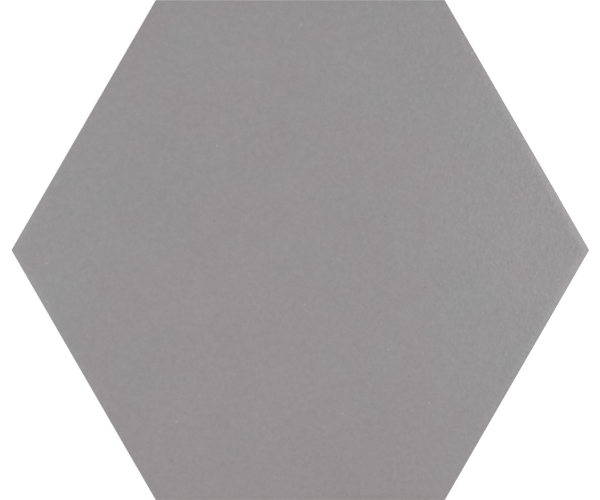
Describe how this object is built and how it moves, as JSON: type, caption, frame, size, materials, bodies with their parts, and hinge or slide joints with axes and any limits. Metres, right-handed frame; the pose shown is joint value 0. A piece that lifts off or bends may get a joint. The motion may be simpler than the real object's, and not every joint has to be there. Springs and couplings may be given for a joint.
{
  "type": "hexagon floor tile",
  "caption": "Plain matt grey hexagon floor tile with softly rounded face edges, drafted sides and a honeycomb keying back.",
  "frame": {"origin": "on the bedding plane, under the centre of the hexagon", "axes": "+Z out of the wear face, +X towards a corner, +Y square to a side; the tile lies on its back"},
  "size_m": [0.2308, 0.2, 0.009],
  "materials": {
    "porcelain": "matte"
  },
  "bodies": {
    "root": {"tile": "porcelain"}
  },
  "joints": []
}
